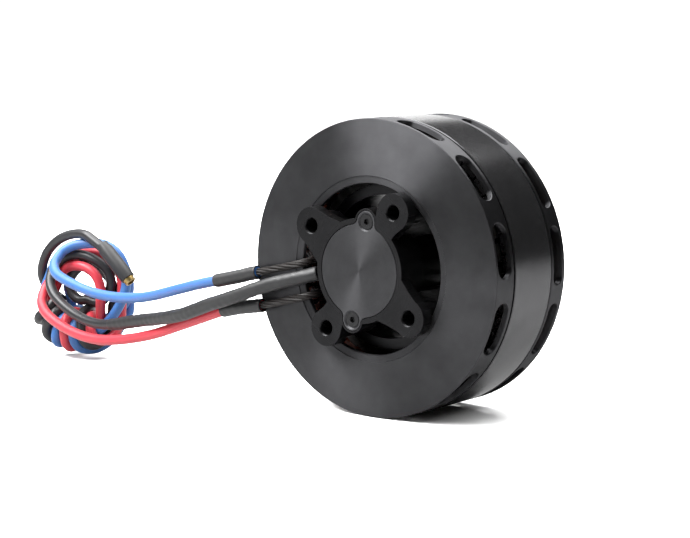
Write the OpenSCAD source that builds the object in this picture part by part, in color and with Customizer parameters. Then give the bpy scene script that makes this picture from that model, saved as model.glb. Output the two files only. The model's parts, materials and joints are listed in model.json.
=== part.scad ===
// Brushless outrunner motor with three leads and a tied lead bundle.
// The motor's axis runs along Y: mounting side at y = 0, propeller side towards +Y.
// +Z is up, and the motor stands on the rim of its rotor.

/* [Rotor] */
// Outer diameter of the rotor can
rotor_d = 102.4; // [100:0.2:106]
// Axial place of the front disc's outer edge, behind the mounting face
front_y = 7.2; // [7:0.1:7.6]
// Axial place of the rotor's rear face
rear_y = 49.3; // [49:0.1:50]
// Number of cooling slots in each band
slot_n = 12; // [6:1:14]
// Axial width of the front band's slots
front_slot_w = 7.7; // [6:0.1:8]
// Axial width of the rear band's slots
rear_slot_w = 5.2; // [4:0.1:6]
// Number of magnets
magnet_n = 42; // [20:2:44]

/* [Stator] */
// Number of stator teeth, each with its own coil
tooth_n = 36; // [12:3:36]
// Outer diameter of the laminated core
core_d = 90.2; // [88:0.1:90.4]
// Axial length of the laminated core
core_len = 20; // [16:0.5:20]

/* [Mounting base] */
// Pitch circle of the four mounting holes
base_pcd = 50; // [48:0.5:50]
// Diameter of the mounting holes
base_hole_d = 5; // [4:0.1:5.2]
// Angle that the four arms are turned by, from the diagonals
base_turn = 10.5; // [0:0.5:15]
// Diameter of the base's hub
hub_d = 35.8; // [35:0.2:36]

/* [Shaft] */
// Shaft diameter in the bearings
shaft_d = 15; // [14.5:0.1:15]
// Number of balls in each bearing
ball_n = 12; // [8:1:14]

/* [Leads] */
// Outer diameter of each silicone lead
lead_d = 4; // [3.6:0.1:4.2]
// Outer diameter of the shrink sleeves at the motor end
sleeve_d = 5; // [4.6:0.1:5.2]
// Outer diameter of each bunch of enamelled winding wires
tail_d = 2.8; // [2.4:0.1:3]

/* [Hidden] */
$fn = 96;

e = 0.01;                       // overlap of joined solids
rim_r = rotor_d / 2;
band_r = rim_r - 1.9;           // inside of the slotted bands
spigot_in_r = rim_r - 3;        // inside of the steps that centre the flux ring
can_r = rim_r - 2.6;            // inside of the flux ring
can_y0 = front_y + 11.2;
can_y1 = rear_y - 9.2;
neck_r = rim_r - 0.8;           // bottom of the shadow grooves between the rotor's rings

// Front disc: a shallow dish from the rim in to the opening's lip
lip_r = 32.1;
lip_y = 5.7;
opening_r = 29.3;
opening_y = 6.4;

// Stator
core_y = 19.2;
core_mid = core_y + core_len / 2;
core_r = core_d / 2;
support_r = 28.4;               // outside of the base's support ring, inside of the core
yoke_r = 33;
tooth_w = 3;
shoe_h = 1.3;
shoe_gap = 1.8;                 // opening between neighbouring tooth tips
insulator_t = 0.8;
coil_w = 5.5;
coil_in = 33.4;
coil_out = 43.4;
coil_len = core_len + 8;

// Bearings
bearing_w = 7;
bearing_r = 14;
front_bearing_y = 4.2;
rear_bearing_y = 33.6;
shaft_r = shaft_d / 2;
ball_r = 1.6;
ball_pcr = 10.65;               // radius of the circle through the balls' centres
race_in_r = 9.6;
race_out_r = 11.7;

// Base
hub_r = hub_d / 2;
tube_r = 16.4;
tube_end = 40.8;
bore_r = 12.5;
pad_r = 6.4;
pad_t = 4.7;
pocket_r = 15.9;
pocket_y = 2;
ear_pcr = 17.1;
ear_r = 3.75;
ear_fillet = 3;
bite = 0.04;                    // how far a fillet's arc cuts into what it blends
boss_r = 4.55;                  // the base's screw bosses, under the cover's ears
ear_angles = [80, -100];
arm_angles = [for (i = [0:3]) 45 + base_turn + 90 * i];
rib_w = 7;
rib_r = 28.4;
cover_gap = 0.22;

// Propeller side
bell_hub_r = 21;
bell_hub_y = 44.2;
bell_face_y = 50.3;
prop_pcd = 30;
prop_hole_r = 2;
bell_screw_pcr = 8.5;
spigot_r = 4;
spoke_n = 12;

// Leads: points along each route, in round numbers
blue_tail_route = [
    [-33, 15.5, 2], [-31.5, 12.5, 2], [-28, 10.5, 1.5], [-26, 7.5, 1], [-27, 4.5, 0.5],
    [-30.5, 3, -0.5], [-36, 2.8, -1.8], [-42, 2.8, -3.2], [-50, 2.8, -5]];
black_tail_route = [
    [-32.5, 15.5, -5.5], [-31, 12.5, -5.5], [-27, 11, -4.5], [-22.5, 10, -3.5],
    [-20.5, 8, -3], [-22.5, 5.6, -3.2], [-26, 4, -4.2]];
red_tail_route = [
    [-31, 15.5, -10.5], [-29.5, 12.5, -10.5], [-26, 10.5, -10.5], [-24, 7.5, -10.5],
    [-25.5, 4.5, -11], [-29, 3, -12], [-35, 2.8, -13.5], [-41, 2.8, -15], [-48, 2.8, -16.5]];
blue_sleeve_route = [[-47, 2.8, -4.3], [-53.5, 2.8, -6], [-60, 2.8, -7.5], [-66.5, 3, -9]];
red_sleeve_route = [[-45, 3, -16], [-51, 3, -17], [-57.5, 3.5, -18], [-64.5, 4.5, -19.5]];
black_sleeve_route = [
    [-22, 5.5, -3], [-28.5, 2.5, -5], [-35.5, 1.5, -6.5], [-42, 0.5, -8.5], [-49, -0.5, -11],
    [-55.5, -0.5, -13.5], [-63, 0, -16], [-70.5, 1, -18], [-77.5, 2, -21], [-85.5, 3.5, -23.5],
    [-93.5, 6, -25], [-101.5, 8, -27], [-109, 10, -28], [-116, 11.5, -29.5], [-123, 12.5, -31],
    [-130.5, 13.5, -32.5]];
blue_route = [
    [-66.5, 3, -9], [-74, 3.5, -10.5], [-81.5, 4.5, -12.5], [-89, 5.5, -14.5],
    [-96.5, 7, -16.5], [-104, 8.5, -18.5], [-112, 10, -20], [-119.5, 11.5, -21],
    [-127.5, 12.5, -21.5], [-135, 13.5, -21.5], [-143, 14.5, -21], [-150.5, 15.5, -19.5],
    [-158.5, 16.5, -18], [-166, 18, -16], [-173, 20.5, -13.5], [-177, 25, -9.5],
    [-171.5, 29, -6]];
black_route = [
    [-130.5, 13.5, -32.5], [-138.5, 15, -33.5], [-146, 16, -33], [-154.5, 17.5, -31.5],
    [-163.5, 19, -28], [-170, 20.5, -25], [-175, 22.5, -22], [-178, 25.5, -17.5],
    [-177, 28.5, -12.5], [-173.5, 31, -9.5]];
red_route = [
    [-64.5, 4.5, -19.5], [-73, 6, -22.5], [-80.5, 7, -25], [-88, 8.5, -27.5], [-95.5, 9, -30],
    [-102.5, 10.5, -32.5], [-112, 11, -35], [-121.5, 11.5, -37], [-131.5, 12, -38.5],
    [-141, 13, -39], [-151, 14, -38], [-159, 15.5, -36.5], [-167.5, 17, -34],
    [-174, 19, -32], [-179.5, 22, -29], [-182.5, 25.5, -26], [-182, 29.5, -21.5],
    [-178.5, 31.5, -16.5], [-172, 31.5, -14]];
// The same leads where they come out of the bundle's back
blue_end_route = [[-172, 35, -41], [-173.5, 37.5, -44.5], [-175.5, 40, -47], [-178, 43, -48]];
red_end_route = [[-168, 35, -41.5], [-169.5, 38.5, -44.5], [-171.5, 43, -47], [-174, 47.5, -48]];

// Bundle: the coiled leads stand on edge as a ring, and their ends are wrapped round its foot
bundle_at = [-165, 32.5, -23.2];
bundle_turn = 18;               // heading of the ring's plane, from the X axis
bundle_lean = 6;                // how far the ring leans back
bundle_r = 18;
bundle_section_r = 6.5;
wrap_section_r = 9.9;
wrap_from = 205;
wrap_sweep = 90;

// Connectors: [rear end, front end] of each one's axis
blue_connector_ends = [[-177.5, 42.5, -48], [-186.5, 52, -48]];
red_connector_ends = [[-173.2, 46.7, -48], [-182.2, 56.2, -48]];
black_connector_ends = [[-150.5, 30, -5.5], [-139, 32, -17.5]];

// ---- Helpers -----------------------------------------------------------------

// Turns a solid made about +Z into one about +Y
module along_y() rotate([-90, 0, 0]) children();

// Turns about the motor's axis, by an angle measured from +X towards +Z
module at_angle(a) rotate([0, 0, -a]) children();

// A ring or disc between two radii and two axial places
module ring(r_in, r_out, y0, y1) {
    translate([0, 0, y0]) difference() {
        cylinder(r = r_out, h = y1 - y0);
        if (r_in > 0) translate([0, 0, -1]) cylinder(r = r_in, h = y1 - y0 + 2);
    }
}

// A radial cutter for one cooling slot with round ends, width w along the axis
module slot_cutter(y, w, long) {
    translate([0, 0, y]) rotate([90, 0, 90]) translate([0, 0, band_r - 2])
        linear_extrude(height = 8) union() {
            square([long - w, w], center = true);
            translate([(long - w) / 2, 0]) circle(d = w);
            translate([-(long - w) / 2, 0]) circle(d = w);
        }
}

function unit(v) = v / norm(v);
function heading(p, i) =
    unit(i == 0 ? p[1] - p[0] : i == len(p) - 1 ? p[i] - p[i - 1] : p[i + 1] - p[i - 1]);
function side_of(t) = unit(cross(t, abs(t[2]) < 0.9 ? [0, 0, 1] : [1, 0, 0]));

// A round tube of n sides swept along the points of a route
module tube_along(route, d, n = 10) {
    rings = len(route);
    points = [
        for (i = [0:rings - 1])
            let (t = heading(route, i), s = side_of(t), u = cross(s, t))
            for (k = [0:n - 1]) route[i] + d / 2 * (cos(360 * k / n) * s + sin(360 * k / n) * u)
    ];
    walls = [
        for (i = [0:rings - 2]) for (k = [0:n - 1])
            let (a = i * n + k, b = i * n + (k + 1) % n)
            each [[a, a + n, b + n], [a, b + n, b]]
    ];
    ends = [[for (k = [0:n - 1]) k], [for (k = [n - 1:-1:0]) (rings - 1) * n + k]];
    polyhedron(points = points, faces = concat(walls, ends), convexity = 6);
}

// A straight round bar from one point to another
module bar(a, b, d) {
    v = b - a;
    translate(a) rotate([0, acos(v[2] / norm(v)), atan2(v[1], v[0])])
        cylinder(d = d, h = norm(v));
}

// A countersunk socket screw whose head's top is at y = 0 and whose shank runs towards +Y
module countersunk_screw(shank_r, head_r, long, hex) {
    difference() {
        union() {
            cylinder(r1 = head_r, r2 = shank_r, h = head_r - shank_r);
            cylinder(r = shank_r, h = long);
        }
        translate([0, 0, -e]) cylinder(d = hex / cos(30), h = head_r - shank_r, $fn = 6);
    }
}

// ---- Mounting base and bearing cover -------------------------------------------

// Two arms flare wide into the hub, and the two beside the cover's ears are pear-shaped
module base_arm_outline(flared) {
    sides = flared
        ? [[12, 9.4], [16, 8.7], [20, 7.4], [25, 6.2]]
        : [[12, 5.4], [17.6, 4.7], [19.6, 4.9], [21.6, 5.6], [23.4, 6.1], [25, 6.3]];
    translate([base_pcd / 2, 0]) circle(r = pad_r);
    polygon(concat(sides, [for (i = [len(sides) - 1:-1:0]) [sides[i][0], -sides[i][1]]]));
}

// A disc with two round ears, blended by concave fillets; gap grows it all round
module cover_outline(gap) {
    disc_r = pocket_r + gap;
    tip_r = ear_r + gap;
    fillet = ear_fillet - gap;
    to_disc = disc_r + fillet - bite;
    to_tip = tip_r + fillet - bite;
    a = acos((pow(ear_pcr, 2) + pow(to_disc, 2) - pow(to_tip, 2)) / (2 * ear_pcr * to_disc));
    centre = to_disc * [cos(a), sin(a)];
    circle(r = disc_r);
    for (turn = ear_angles) at_angle(turn) {
        translate([ear_pcr, 0]) circle(r = tip_r);
        difference() {
            polygon([[0, 0], [centre[0], -centre[1]], [ear_pcr, 0], centre]);
            for (side = [-1, 1]) translate([centre[0], side * centre[1]]) circle(r = fillet);
        }
    }
}

module mounting_base() color([0.08, 0.08, 0.085]) along_y() difference() {
    union() {
        cylinder(r = hub_r, h = 12);
        for (a = ear_angles) at_angle(a) translate([ear_pcr, 0, 0]) cylinder(r = boss_r, h = 9);
        for (i = [0:3]) at_angle(arm_angles[i]) {
            linear_extrude(height = pad_t) base_arm_outline(i % 2 == 1);
            intersection() {
                translate([base_pcd / 2, 0, 0]) cylinder(r = 4.4, h = 12);
                cylinder(r = rib_r, h = 12);
            }
            translate([tube_r - 2, -rib_w / 2, 3]) cube([rib_r - tube_r + 0.6, rib_w, 30]);
        }
        cylinder(r = tube_r, h = tube_end);
        ring(support_r - 3.6, support_r, 15, 40.4);
    }
    translate([0, 0, -1]) linear_extrude(height = pocket_y + 1) cover_outline(cover_gap);
    translate([0, 0, 1]) cylinder(r = bearing_r, h = front_bearing_y + bearing_w - 1);
    cylinder(r = bore_r, h = 60);
    translate([0, 0, rear_bearing_y - 0.6]) cylinder(r = bearing_r, h = 20);
    for (a = ear_angles) at_angle(a) translate([ear_pcr, 0, 0]) cylinder(r = 1.55, h = 8.2);
    for (a = arm_angles) at_angle(a) translate([base_pcd / 2, 0, -1]) {
        cylinder(d = base_hole_d, h = 11);
        cylinder(d1 = base_hole_d + 2.8, d2 = base_hole_d, h = 1.4);
    }
}

module bearing_cover() color([0.07, 0.07, 0.075]) along_y() difference() {
    union() {
        linear_extrude(height = pocket_y) cover_outline(0);
        ring(12.3, bearing_r - 0.1, pocket_y - e, front_bearing_y);
    }
    for (a = ear_angles) at_angle(a) translate([ear_pcr, 0, -e]) {
        cylinder(r = 1.6, h = pocket_y + 1);
        cylinder(r1 = 3.25, r2 = 1.55, h = 1.7);
    }
}

module cover_screws() color([0.05, 0.05, 0.05]) along_y() {
    for (a = ear_angles) at_angle(a) translate([ear_pcr, 0, 0.4])
        countersunk_screw(1.5, 2.65, 7, 2);
}

// ---- Stator --------------------------------------------------------------------

module tooth_outline() {
    difference() {
        union() {
            circle(r = yoke_r);
            for (i = [0:tooth_n - 1]) rotate(360 / tooth_n * i)
                translate([yoke_r - 1, -tooth_w / 2]) square([core_r - yoke_r, tooth_w]);
            difference() {
                circle(r = core_r);
                circle(r = core_r - shoe_h);
                for (i = [0:tooth_n - 1]) rotate(360 / tooth_n * (i + 0.5))
                    translate([core_r - 3, -shoe_gap / 2]) square([6, shoe_gap]);
            }
        }
        circle(r = support_r);
    }
}

module stator_core() color([0.25, 0.25, 0.27]) along_y()
    translate([0, 0, core_y]) linear_extrude(height = core_len) tooth_outline();

module insulator(y) along_y() translate([0, 0, y]) linear_extrude(height = insulator_t)
    difference() {
        tooth_outline();
        circle(r = support_r + 0.6);
    }

module front_insulator() color([0.16, 0.16, 0.15]) insulator(core_y - insulator_t);
module rear_insulator() color([0.16, 0.16, 0.15]) insulator(core_y + core_len);

module windings() color([0.45, 0.16, 0.08]) along_y() {
    inner_w = tooth_w + 0.1;
    inner_len = core_len + 2 * insulator_t + 0.1;
    for (i = [0:tooth_n - 1]) rotate(360 / tooth_n * i)
        translate([coil_in, 0, core_mid]) rotate([0, 90, 0]) difference() {
            linear_extrude(height = coil_out - coil_in) union() {
                square([coil_len - coil_w, coil_w], center = true);
                translate([(coil_len - coil_w) / 2, 0]) circle(d = coil_w, $fn = 32);
                translate([-(coil_len - coil_w) / 2, 0]) circle(d = coil_w, $fn = 32);
            }
            translate([-inner_len / 2, -inner_w / 2, -1])
                cube([inner_len, inner_w, coil_out - coil_in + 2]);
        }
}

// ---- Bearings ------------------------------------------------------------------

module groove(y) translate([0, 0, y + bearing_w / 2])
    rotate_extrude() translate([ball_pcr, 0]) circle(r = ball_r + 0.04, $fn = 48);

module outer_race(y) along_y() difference() {
    ring(race_out_r, bearing_r, y, y + bearing_w);
    groove(y);
}

module inner_race(y) along_y() difference() {
    ring(shaft_r, race_in_r, y, y + bearing_w);
    groove(y);
}

module balls(y) along_y() for (i = [0:ball_n - 1]) rotate(360 / ball_n * i)
    translate([ball_pcr, 0, y + bearing_w / 2]) sphere(r = ball_r, $fn = 32);

module cage(y) along_y() difference() {
    ring(ball_pcr - 0.45, ball_pcr + 0.45, y + 1.2, y + bearing_w - 1.2);
    for (i = [0:ball_n - 1]) rotate(360 / ball_n * i)
        translate([ball_pcr - 2, 0, y + bearing_w / 2]) rotate([0, 90, 0])
            cylinder(r = ball_r + 0.1, h = 4);
}

module front_bearing_outer() color([0.7, 0.7, 0.72]) outer_race(front_bearing_y);
module rear_bearing_outer() color([0.7, 0.7, 0.72]) outer_race(rear_bearing_y);
module front_bearing_inner() color([0.7, 0.7, 0.72]) inner_race(front_bearing_y);
module rear_bearing_inner() color([0.7, 0.7, 0.72]) inner_race(rear_bearing_y);
module front_bearing_balls() color([0.8, 0.8, 0.82]) balls(front_bearing_y);
module rear_bearing_balls() color([0.8, 0.8, 0.82]) balls(rear_bearing_y);
module front_bearing_cage() color([0.7, 0.5, 0.2]) cage(front_bearing_y);
module rear_bearing_cage() color([0.7, 0.5, 0.2]) cage(rear_bearing_y);

module preload_washer() color([0.6, 0.6, 0.6]) along_y()
    ring(12.7, bearing_r - 0.2, rear_bearing_y - 0.6, rear_bearing_y);

// ---- Rotor ---------------------------------------------------------------------

module front_ring() color([0.09, 0.09, 0.095]) along_y() difference() {
    rotate_extrude($fn = 180) polygon([
        [opening_r, opening_y], [lip_r, lip_y], [rim_r - 0.35, front_y - 0.03],
        [rim_r, front_y + 0.35], [rim_r, front_y + 10.3], [neck_r, front_y + 10.3],
        [neck_r, can_y0], [can_r - 0.05, can_y0], [can_r - 0.05, can_y0 + 0.7],
        [spigot_in_r, can_y0 + 0.7], [spigot_in_r, can_y0 - 1], [band_r, can_y0 - 2.1],
        [band_r, front_y + 2.2], [opening_r + 1, lip_y + 2.6],
        [opening_r, lip_y + 2.1]]);
    for (i = [0:slot_n - 1]) at_angle(10.6 + 360 / slot_n * i)
        slot_cutter(front_y + 0.9 + front_slot_w / 2, front_slot_w, 18.6);
}

module flux_ring() color([0.07, 0.07, 0.075]) along_y() rotate_extrude($fn = 180) polygon([
    [can_r, can_y0], [rim_r - 0.4, can_y0], [rim_r, can_y0 + 0.4],
    [rim_r, can_y1 - 0.4], [rim_r - 0.4, can_y1], [can_r, can_y1]]);

module magnets() color([0.5, 0.5, 0.52]) along_y() {
    pitch = 360 / magnet_n;
    for (i = [0:magnet_n - 1]) rotate(pitch * i) translate([0, 0, core_y])
        rotate_extrude(angle = pitch - 1)
            translate([core_r + 0.5, 0]) square([can_r - core_r - 0.55, core_len]);
}

module rear_bell() color([0.08, 0.08, 0.085]) along_y() difference() {
    union() {
        rotate_extrude($fn = 180) polygon([
            [spigot_in_r, can_y1 + 0.7], [spigot_in_r, can_y1 - 0.7],
            [can_r - 0.05, can_y1 - 0.7], [can_r - 0.05, can_y1],
            [neck_r, can_y1], [neck_r, can_y1 + 0.3], [rim_r, can_y1 + 0.5],
            [rim_r, rear_y - 1], [rim_r - 0.7, rear_y], [43.5, rear_y],
            [43.5, rear_y - 2], [band_r, rear_y - 2.4], [band_r, can_y1 + 1.3]]);
        ring(0, bell_hub_r, bell_hub_y, bell_face_y);
        for (i = [0:spoke_n - 1]) at_angle(360 / spoke_n * (i + 0.5))
            translate([bell_hub_r - 1, -2.2, rear_y - 4.2]) cube([24, 4.4, 4.2]);
    }
    for (i = [0:slot_n - 1]) at_angle(5.6 + 360 / slot_n * i)
        slot_cutter(can_y1 + 1.5 + rear_slot_w / 2, rear_slot_w, 20);
    translate([0, 0, bell_hub_y - 1]) cylinder(r = 5.05, h = 10);
    for (i = [0:3]) at_angle(45 + 90 * i) translate([prop_pcd / 2, 0, bell_hub_y - 1])
        cylinder(r = prop_hole_r, h = 10);
    for (i = [0:3]) at_angle(90 * i) translate([bell_screw_pcr, 0, bell_hub_y - 1]) {
        cylinder(r = 1.55, h = 10);
        translate([0, 0, bell_face_y - bell_hub_y - 0.5]) cylinder(r1 = 1.55, r2 = 3.25, h = 1.7);
    }
}

module shaft() color([0.72, 0.72, 0.74]) along_y() difference() {
    union() {
        translate([0, 0, 2.6]) cylinder(r = shaft_r, h = rear_bearing_y + bearing_w - 2.6);
        ring(0, 9, rear_bearing_y + bearing_w, 41.3);
        ring(0, 11.5, 41.3, bell_hub_y);
        ring(0, 5, bell_hub_y - 1, bell_face_y);
        ring(0, spigot_r, bell_face_y - 1, bell_face_y + 2);
    }
    ring(7, 9, 3.1, front_bearing_y);
    for (i = [0:3]) at_angle(90 * i) translate([bell_screw_pcr, 0, 41]) cylinder(r = 1.55, h = 4);
}

module shaft_circlip() color([0.3, 0.3, 0.3]) along_y() difference() {
    ring(7.05, 9.2, 3.15, front_bearing_y - 0.05);
    translate([0, -1.5, 0]) cube([12, 3, 8]);
}

module bell_screws() color([0.05, 0.05, 0.05]) along_y() {
    for (i = [0:3]) at_angle(90 * i) translate([bell_screw_pcr, 0, bell_face_y - 0.35])
        mirror([0, 0, 1]) countersunk_screw(1.5, 2.65, 8.4, 2);
}

// ---- Leads ---------------------------------------------------------------------

module blue_winding_tail() color([0.2, 0.08, 0.05]) tube_along(blue_tail_route, tail_d, 8);
module black_winding_tail() color([0.2, 0.08, 0.05]) tube_along(black_tail_route, tail_d, 8);
module red_winding_tail() color([0.2, 0.08, 0.05]) tube_along(red_tail_route, tail_d, 8);

module blue_sleeve() color([0.1, 0.1, 0.1]) tube_along(blue_sleeve_route, sleeve_d);
module black_sleeve() color([0.1, 0.1, 0.1]) tube_along(black_sleeve_route, sleeve_d);
module red_sleeve() color([0.1, 0.1, 0.1]) tube_along(red_sleeve_route, sleeve_d);

module blue_lead() color([0.32, 0.52, 0.85]) {
    tube_along(blue_route, lead_d);
    tube_along(blue_end_route, lead_d);
}

module black_lead() color([0.1, 0.1, 0.1]) tube_along(black_route, lead_d);

module red_lead() color([0.85, 0.15, 0.2]) {
    tube_along(red_route, lead_d);
    tube_along(red_end_route, lead_d);
}

// The coil that the three leads make together, with the wraps round its foot
module lead_bundle() color([0.25, 0.25, 0.3]) translate(bundle_at)
    rotate([0, 0, bundle_turn]) rotate([90 - bundle_lean, 0, 0]) {
        rotate_extrude() translate([bundle_r, 0]) circle(r = bundle_section_r, $fn = 48);
        rotate(wrap_from) rotate_extrude(angle = wrap_sweep) translate([bundle_r, 0])
            circle(r = wrap_section_r, $fn = 48);
    }

// A sleeved bullet connector
module connector(ends) {
    forward = unit(ends[1] - ends[0]);
    bar(ends[0], ends[1], 6);
    bar(ends[1] - forward, ends[1] + 1.5 * forward, 4.6);
}

module blue_connector() color([0.1, 0.1, 0.1]) connector(blue_connector_ends);
module black_connector() color([0.1, 0.1, 0.1]) connector(black_connector_ends);
module red_connector() color([0.1, 0.1, 0.1]) connector(red_connector_ends);

// ---- Assembly ------------------------------------------------------------------

mounting_base();
bearing_cover();
cover_screws();
stator_core();
front_insulator();
rear_insulator();
windings();
front_bearing_outer();
rear_bearing_outer();
preload_washer();
front_ring();
flux_ring();
magnets();
rear_bell();
shaft();
shaft_circlip();
bell_screws();
front_bearing_inner();
rear_bearing_inner();
front_bearing_balls();
front_bearing_cage();
rear_bearing_balls();
rear_bearing_cage();
blue_winding_tail();
black_winding_tail();
red_winding_tail();
blue_sleeve();
black_sleeve();
red_sleeve();
blue_lead();
black_lead();
red_lead();
lead_bundle();
blue_connector();
black_connector();
red_connector();
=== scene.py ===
"""Brushless outrunner motor with its three leads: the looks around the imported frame."""
import json
import math

import bmesh
import bpy
import numpy as np
from mathutils import Matrix, Vector
from mathutils.geometry import tessellate_polygon


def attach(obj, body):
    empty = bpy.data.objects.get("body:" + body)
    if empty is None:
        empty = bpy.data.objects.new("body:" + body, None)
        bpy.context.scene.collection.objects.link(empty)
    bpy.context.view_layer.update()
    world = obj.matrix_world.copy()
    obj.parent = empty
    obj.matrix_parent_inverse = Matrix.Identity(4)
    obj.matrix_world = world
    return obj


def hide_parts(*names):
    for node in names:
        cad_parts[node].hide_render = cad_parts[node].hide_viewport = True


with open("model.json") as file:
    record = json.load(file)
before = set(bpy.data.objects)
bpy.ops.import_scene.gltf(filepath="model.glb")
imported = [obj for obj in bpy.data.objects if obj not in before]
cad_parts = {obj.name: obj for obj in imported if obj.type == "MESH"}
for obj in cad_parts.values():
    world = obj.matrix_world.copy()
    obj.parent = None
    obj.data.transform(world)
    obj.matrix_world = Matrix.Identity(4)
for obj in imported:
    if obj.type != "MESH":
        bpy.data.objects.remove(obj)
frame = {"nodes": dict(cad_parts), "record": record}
bpy.context.view_layer.update()
NODES = frame["nodes"]
MM = 0.001


# ---- Camera --------------------------------------------------------------------

def make_camera():
    eye = Vector((409.06, -528.18, 85.99)) * MM
    yaw, pitch = math.radians(38.15), math.radians(7.27)
    right = Vector((math.cos(yaw), math.sin(yaw), 0))
    forward = Vector((-math.sin(yaw) * math.cos(pitch), math.cos(yaw) * math.cos(pitch),
                      -math.sin(pitch)))
    up = right.cross(forward)
    data = bpy.data.cameras.new("camera")
    data.lens, data.sensor_width, data.sensor_fit = 104.35, 36, "HORIZONTAL"
    data.clip_start, data.clip_end = 0.01, 20
    camera = bpy.data.objects.new("camera", data)
    turn = Matrix((right, up, -forward)).transposed().to_4x4()
    camera.matrix_world = Matrix.Translation(eye) @ turn
    bpy.context.scene.collection.objects.link(camera)
    bpy.context.scene.camera = camera


make_camera()


# ---- Lead routes, in millimetres -------------------------------------------------

FLOOR_Z = -51.2
LEAD_D, SLEEVE_D = 4.0, 5.0
BUNDLE_AT = np.array([-165.0, 32.5, -23.2])
BUNDLE_R = 18.0
RING_TURN, RING_LEAN = math.radians(18), math.radians(6)


def direction(x, y, z):
    """A direction to five decimals, which keeps the settled leads the same."""
    return np.round([x, y, z], 5)


RING_RIGHT = direction(math.cos(RING_TURN), math.sin(RING_TURN), 0)
RING_UP = direction(
    -math.sin(RING_TURN) * math.sin(RING_LEAN), math.cos(RING_TURN) * math.sin(RING_LEAN),
    math.cos(RING_LEAN))
RING_FRONT = direction(
    math.sin(RING_TURN) * math.cos(RING_LEAN), -math.cos(RING_TURN) * math.cos(RING_LEAN),
    math.sin(RING_LEAN))

BLUE_TAIL = [
    (-33, 15.5, 2), (-31.5, 12.5, 2), (-28, 10.5, 1.5), (-26, 7.5, 1), (-27, 4.5, 0.5),
    (-30.5, 3, -0.5), (-36, 2.8, -1.8), (-42, 2.8, -3.2), (-50, 2.8, -5)]
BLACK_TAIL = [
    (-32.5, 15.5, -5.5), (-31, 12.5, -5.5), (-27, 11, -4.5), (-22.5, 10, -3.5),
    (-20.5, 8, -3), (-22.5, 5.6, -3.2), (-26, 4, -4.2)]
RED_TAIL = [
    (-31, 15.5, -10.5), (-29.5, 12.5, -10.5), (-26, 10.5, -10.5), (-24, 7.5, -10.5),
    (-25.5, 4.5, -11), (-29, 3, -12), (-35, 2.8, -13.5), (-41, 2.8, -15), (-48, 2.8, -16.5)]
BLUE_SLEEVE = [(-47, 2.8, -4.3), (-53.5, 2.8, -6), (-60, 2.8, -7.5), (-66.5, 3, -9)]
RED_SLEEVE = [(-45, 3, -16), (-51, 3, -17), (-57.5, 3.5, -18), (-64.5, 4.5, -19.5)]
BLACK_SLEEVE = [
    (-22, 5.5, -3), (-28.5, 2.5, -5), (-35.5, 1.5, -6.5), (-42, 0.5, -8.5), (-49, -0.5, -11),
    (-55.5, -0.5, -13.5), (-63, 0, -16), (-70.5, 1, -18), (-77.5, 2, -21), (-85.5, 3.5, -23.5),
    (-93.5, 6, -25), (-101.5, 8, -27), (-109, 10, -28), (-116, 11.5, -29.5), (-123, 12.5, -31),
    (-130.5, 13.5, -32.5)]
BLUE_RUN = [
    (-66.5, 3, -9), (-74, 3.5, -10.5), (-81.5, 4.5, -12.5), (-89, 5.5, -14.5),
    (-96.5, 7, -16.5), (-104, 8.5, -18.5), (-112, 10, -20), (-119.5, 11.5, -21),
    (-127.5, 12.5, -21.5), (-135, 13.5, -21.5), (-143, 14.5, -21), (-150.5, 15.5, -19.5),
    (-158.5, 16.5, -18), (-166, 18, -16), (-173, 20.5, -13.5), (-177, 25, -9.5),
    (-171.5, 29, -6)]
BLACK_RUN = [
    (-130.5, 13.5, -32.5), (-138.5, 15, -33.5), (-146, 16, -33), (-154.5, 17.5, -31.5),
    (-163.5, 19, -28), (-170, 20.5, -25), (-175, 22.5, -22), (-178, 25.5, -17.5),
    (-177, 28.5, -12.5), (-173.5, 31, -9.5)]
RED_RUN = [
    (-64.5, 4.5, -19.5), (-73, 6, -22.5), (-80.5, 7, -25), (-88, 8.5, -27.5), (-95.5, 9, -30),
    (-102.5, 10.5, -32.5), (-112, 11, -35), (-121.5, 11.5, -37), (-131.5, 12, -38.5),
    (-141, 13, -39), (-151, 14, -38), (-159, 15.5, -36.5), (-167.5, 17, -34),
    (-174, 19, -32), (-179.5, 22, -29), (-182.5, 25.5, -26), (-182, 29.5, -21.5),
    (-178.5, 31.5, -16.5), (-172, 31.5, -14)]
BLUE_PLUG = [(-177.5, 42.5, -48), (-186.5, 52, -48)]
RED_PLUG = [(-173.2, 46.7, -48), (-182.2, 56.2, -48)]
BLACK_PLUG = [(-150.5, 30, -5.5), (-139, 32, -17.5)]
BLUE_END = [(-175.5, 40, -47), BLUE_PLUG[0]]
RED_END = [(-171.5, 43, -47), RED_PLUG[0]]
BLACK_END = BLACK_PLUG


def on_ring(angle, radius, front):
    """A point of the bundle: degrees round the ring, distance from its middle, towards the front."""
    a = math.radians(angle)
    return (BUNDLE_AT + radius * (math.cos(a) * RING_RIGHT + math.sin(a) * RING_UP)
            + front * RING_FRONT)


def on_wrap(angle, around, reach):
    """A point of a wrap: the ring's angle, then degrees round the strands there.

    0 degrees is outwards from the ring's middle, and 90 is towards the front."""
    a = math.radians(around)
    return on_ring(angle, BUNDLE_R + reach * math.cos(a), reach * math.sin(a))


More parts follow.
